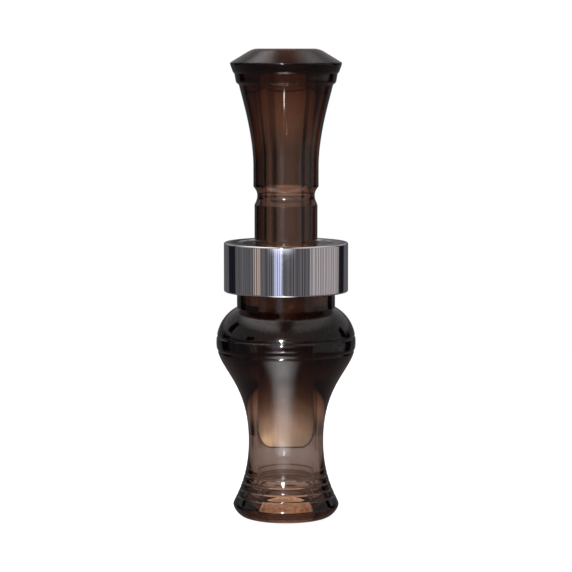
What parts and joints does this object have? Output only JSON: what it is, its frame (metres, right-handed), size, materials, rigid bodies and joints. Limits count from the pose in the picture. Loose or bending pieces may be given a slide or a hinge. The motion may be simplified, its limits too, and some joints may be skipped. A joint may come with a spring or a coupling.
{
  "type": "duck call",
  "caption": "Turned acrylic duck call with a metal band, and a pull-out insert that carries the tone board, reed and wedge.",
  "frame": {"origin": "centre of the mouthpiece's flat end face", "axes": "+Z along the bore towards the exhaust end; -Y is the side that the reed faces"},
  "size_m": [0.0382, 0.0382, 0.128],
  "materials": {
    "smoke_acrylic": "polished, translucent smoke brown",
    "polished_aluminium": "turned and polished to a mirror",
    "board_acrylic": "satin, translucent smoke brown",
    "mylar": "translucent polyester film",
    "cork": "cut cork",
    "seal_rubber": "matt black"
  },
  "bodies": {
    "barrel": {"barrel": "smoke_acrylic", "band": "polished_aluminium"},
    "rings": {"lower_o_ring": "seal_rubber", "upper_o_ring": "seal_rubber"},
    "insert": {"insert": "smoke_acrylic", "tone_board": "board_acrylic"},
    "reed": {"reed": "mylar"},
    "wedge": {"wedge": "cork"}
  },
  "joints": [
    {"name": "insert_slide", "type": "slide", "parent": "barrel", "child": "rings", "axis": [0, 0, 1], "range_m": [0, 0.06]},
    {"name": "insert_turn", "type": "hinge", "parent": "rings", "child": "insert", "pos_m": [0, 0, 0.0707], "axis": [0, 0, 1], "continuous": true},
    {"name": "reed_flex", "type": "hinge", "parent": "insert", "child": "reed", "pos_m": [0, -0.00115, 0.0613], "axis": [1, 0, 0], "range_deg": [0, 1.2], "stiffness_Nm_per_rad": 0.01},
    {"name": "wedge_slide", "type": "slide", "parent": "insert", "child": "wedge", "axis": [0, 0, -1], "range_m": [0, 0.013]}
  ]
}
